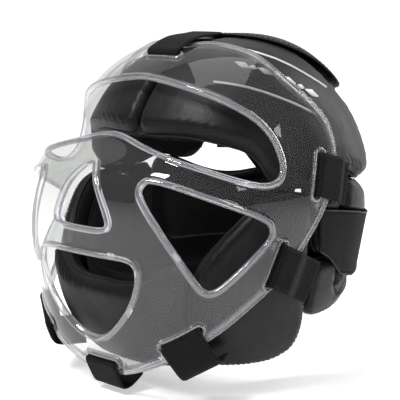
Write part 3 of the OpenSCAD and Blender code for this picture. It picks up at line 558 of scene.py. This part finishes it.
# loop pile under the tabs
V, F = [], []
for i, (s0, s1, nn_) in enumerate([[14, 27, -5.4], [9, 19, -5.3], [17, 30, -8.8]]):
    p, s, n, l, q = fr(i)
    for sx in ((1,) if i == 0 else (1, -1)):
        b = len(V); r_ = r_jaw if i == 2 else r_pad
        a_, c_ = 14, 22
        for lay in (0.55, -0.45):
            for u in np.linspace(s0, s1, a_+1):
                for v in np.linspace(-12, 12, c_+1):
                    x = p+s*u+n*(nn_)+l*v; d = x/np.linalg.norm(x); top = min(np.linalg.norm(x)+0.5, float(r_(d))+1.3)
                    V.append(d*(top+lay-0.55)*[sx, 1, 1])
        m = (a_+1)*(c_+1); W = c_+1
        g_ = [(b+x*W+y, b+x*W+y+1, b+(x+1)*W+y+1, b+(x+1)*W+y) for x in range(a_) for y in range(c_)]
        F += g_+[tuple(k+m for k in f) for f in g_]
        ids = [b+x*W for x in range(a_)]+[b+a_*W+y for y in range(c_)]+[b+x*W+c_ for x in range(a_, 0, -1)]+[b+y for y in range(c_, 0, -1)]
        F += [(ids[k], ids[(k+1) % len(ids)], ids[(k+1) % len(ids)]+m, ids[k]+m) for k in range(len(ids))]
o = mk("loop_pile_patches", V, F, [PILE]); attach(o, HG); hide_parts("loop_patches")

# ------------------------------------------------------------------ generic printed trim on the forehead pads
def ribbon(P, w, mirror=False):
    P = np.asarray(P, float); T = U(np.gradient(P, axis=0)); Nn = U(P); B = U(np.cross(T, Nn))
    V, F = [], []
    for c, b_, n_ in zip(P, B, Nn):
        V += [c-b_*w/2-n_*1.4, c-b_*w/2+n_*0.12, c+b_*w/2+n_*0.12, c+b_*w/2-n_*1.4]
    for i in range(len(P)-1):
        for j in range(4): F.append((i*4+j, i*4+(j+1) % 4, i*4+4+(j+1) % 4, i*4+4+j))
    F += [(0, 1, 2, 3), tuple(len(V)-4+j for j in range(4))]
    return V, F
def on_pad(a): d = D(a); P = d*r_pad(d)[..., None]; return d*(r_pad(d)+sag(P)+0.55)[..., None]
parts = []
def arc_pts(a, b, sagy, n=60):
    t = np.linspace(0, 1, n)[:, None]; Q = np.array(a)*(1-t)+np.array(b)*t; Q[:, 1] += (4*t*(1-t))[:, 0]*sagy; return Q
up_, lo_ = arc_pts([50, 67], [98, 50.5], 2.0), arc_pts([33, 50], [80, 40.5], 1.6)
for Q in (up_, lo_): parts.append((*ribbon(on_pad(Q), 1.5), 0))
for k in range(7):
    t = 0.12+0.76*k/6; a = up_[int(t*59)]*0.5+lo_[int(t*59)]*0.5; d0 = on_pad(a[None])[0]; nrm0 = U(d0)
    e = U(on_pad(a[None]+[[1, -0.35]])[0]-d0); f_ = np.cross(nrm0, e); w1, w2 = (6.5, 3.0) if k % 2 == 0 else (3.0, 2.0)
    ring = []
    for t_ in range(4):
        v = d0+e*w1*math.cos(t_*math.pi/2)+f_*w2*math.sin(t_*math.pi/2); dv = U(v); ring.append(dv)
    rr = [float(r_pad(x)+sag((x*r_pad(x))[None])[0]) for x in ring]
    V = [x*(r+0.75) for x, r in zip(ring, rr)]+[x*(r-0.8) for x, r in zip(ring, rr)]
    parts.append((V, [(0, 1, 2, 3), (7, 6, 5, 4)]+[(j, (j+1) % 4, 4+(j+1) % 4, 4+j) for j in range(4)], 0))
V, F, fm = join(parts)
for side, sx in (("left", 1), ("right", -1)):
    o = mk("forehead_print_"+side, (np.asarray(V)+[0.4, 0, 0])*[sx, 1, 1], F, [PRINT]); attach(o, HG)

# ------------------------------------------------------------------ floor and light
zf = first[0].z-0.002
back = -U(cdir*[1, 1, 0]); side_ = rdir
V, F = [], []
prof = [(-4.0, 0.0), (-1.5, 0), (0.8, 0)]+[(0.8+1.6*math.sin(a), 1.6-1.6*math.cos(a)) for a in np.linspace(0.08, math.pi/2, 16)]+[(2.4, 4.5)]
for x, z in prof:
    for y in (-5, 5): V.append((back*x+side_*y+np.array([0, 0, zf+z]))*1000)
for j in range(len(prof)-1): F.append((2*j, 2*j+1, 2*j+3, 2*j+2))
m, nt, out = mat("floor_pale"); p = N(nt, "ShaderNodeBsdfPrincipled", Roughness=0.8); p.inputs["Base Color"].default_value = (0.93, 0.93, 0.93, 1); p.inputs["Emission Color"].default_value = (1, 1, 1, 1); p.inputs["Emission Strength"].default_value = 0.45; nt.links.new(p.outputs[0], out.inputs[0])
floor = mk("floor", V, F, [m])
w = bpy.data.worlds.new("studio"); w.use_nodes = True; bpy.context.scene.world = w
w.node_tree.nodes["Background"].inputs[0].default_value = (1, 1, 1, 1); w.node_tree.nodes["Background"].inputs[1].default_value = 0.05
def area_light(name, at, to, size, power, size_y=None):
    d = bpy.data.lights.new(name, "AREA"); d.energy = power; d.size = size
    if size_y: d.shape = "RECTANGLE"; d.size_y = size_y
    o = bpy.data.objects.new(name, d); bpy.context.collection.objects.link(o); o.location = Vector(at)
    o.rotation_euler = (Vector(to)-Vector(at)).to_track_quat("-Z", "Y").to_euler()
up3 = np.array([0, 0, 1.0])
area_light("key", cdir*0.7-rdir*0.8+up3*1.3, (0, 0, 0.02), 0.5, 29)
area_light("fill", cdir*0.9+rdir*1.2+up3*0.6, (0, 0, 0), 0.5, 5)
area_light("top", -cdir*0.2+up3*1.5, (0, 0, 0), 0.9, 5)
area_light("strip", -cdir*0.5+rdir*1.0+up3*0.7, (0, 0, 0.05), 0.3, 8, 1.2)
